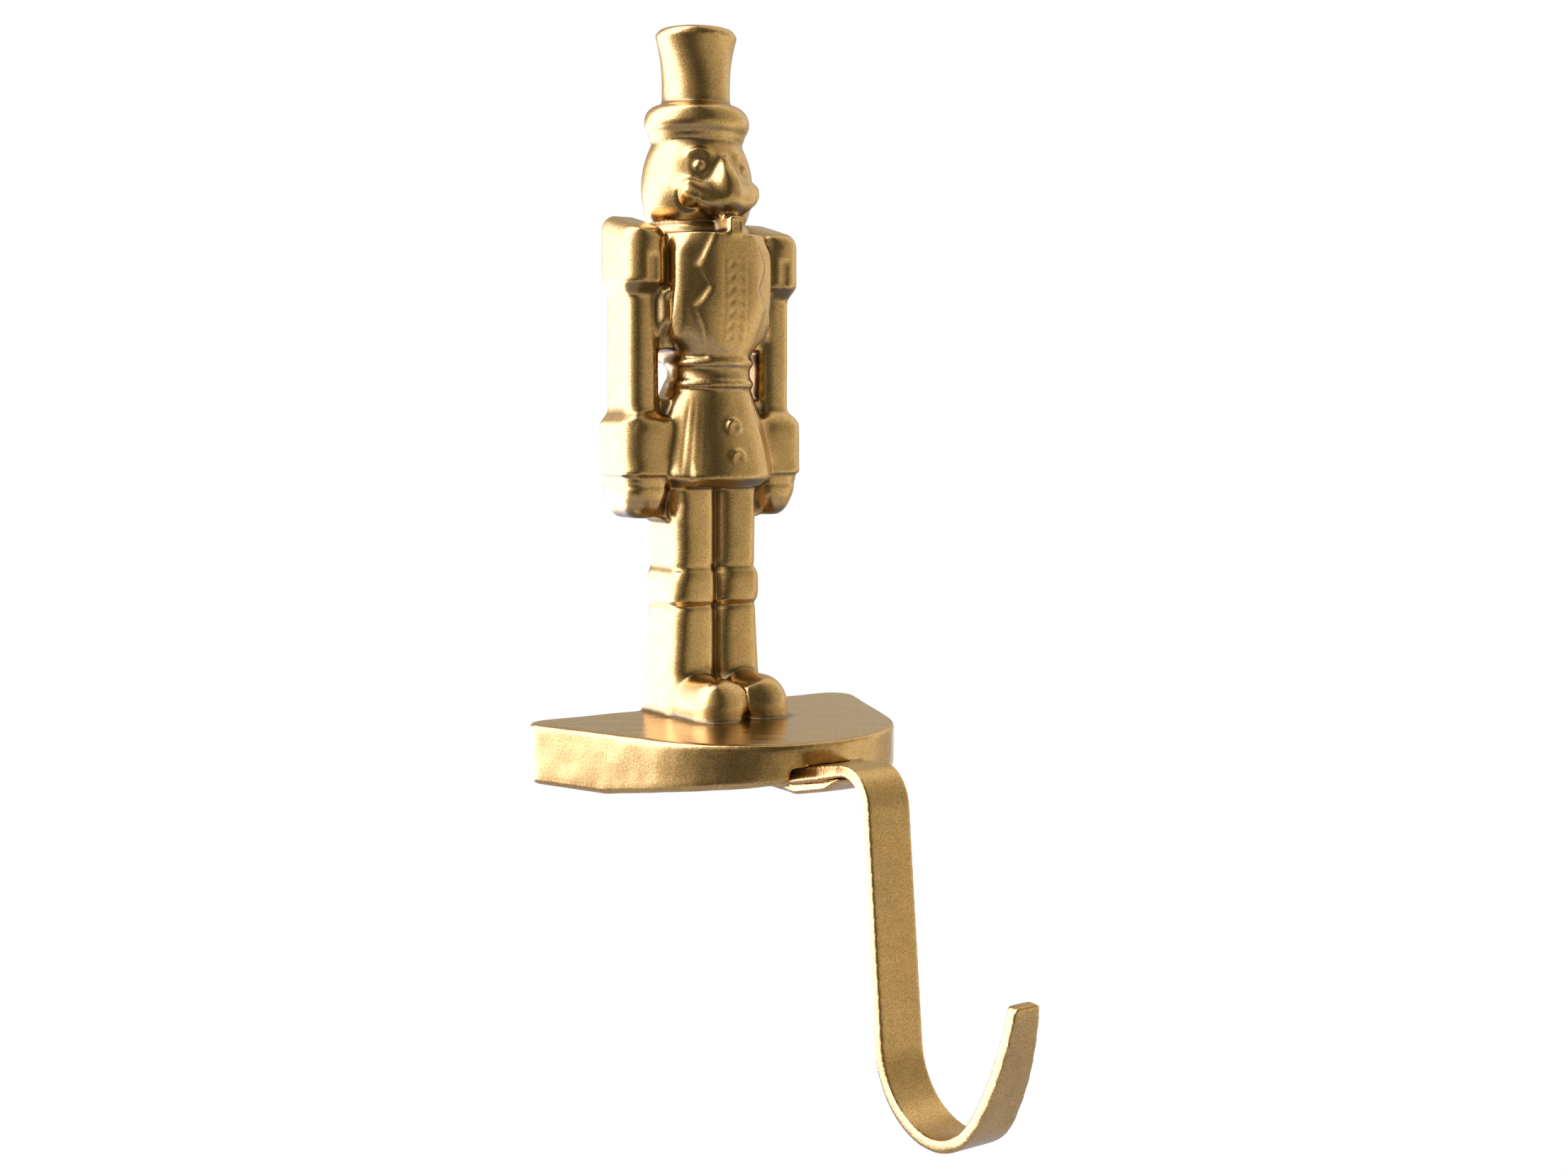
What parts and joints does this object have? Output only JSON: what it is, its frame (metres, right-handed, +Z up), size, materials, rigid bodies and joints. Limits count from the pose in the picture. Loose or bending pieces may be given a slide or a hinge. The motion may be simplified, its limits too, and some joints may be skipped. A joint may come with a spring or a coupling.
{
  "type": "mantel stocking holder",
  "caption": "Gold cast nutcracker figure standing on a weighted D-shaped base, with a flat-bar J hook that drops over a shelf's front edge to hang a stocking.",
  "frame": {"origin": "on the flat of the underside, the plane of the shelf, below the axis of the figure's head", "axes": "+Z up out of the shelf; -Y the way the figure faces, out over the shelf's front edge; X = 0 the plane of symmetry"},
  "size_m": [0.087, 0.1221, 0.2296],
  "materials": {
    "gold_casting": "satin gold coat with fine speckle over a sand-cast skin",
    "gold_strap": "satin gold coat with fine speckle on flat bar"
  },
  "bodies": {
    "root": {"nutcracker_casting": "gold_casting", "hook_strap": "gold_strap"}
  },
  "joints": []
}
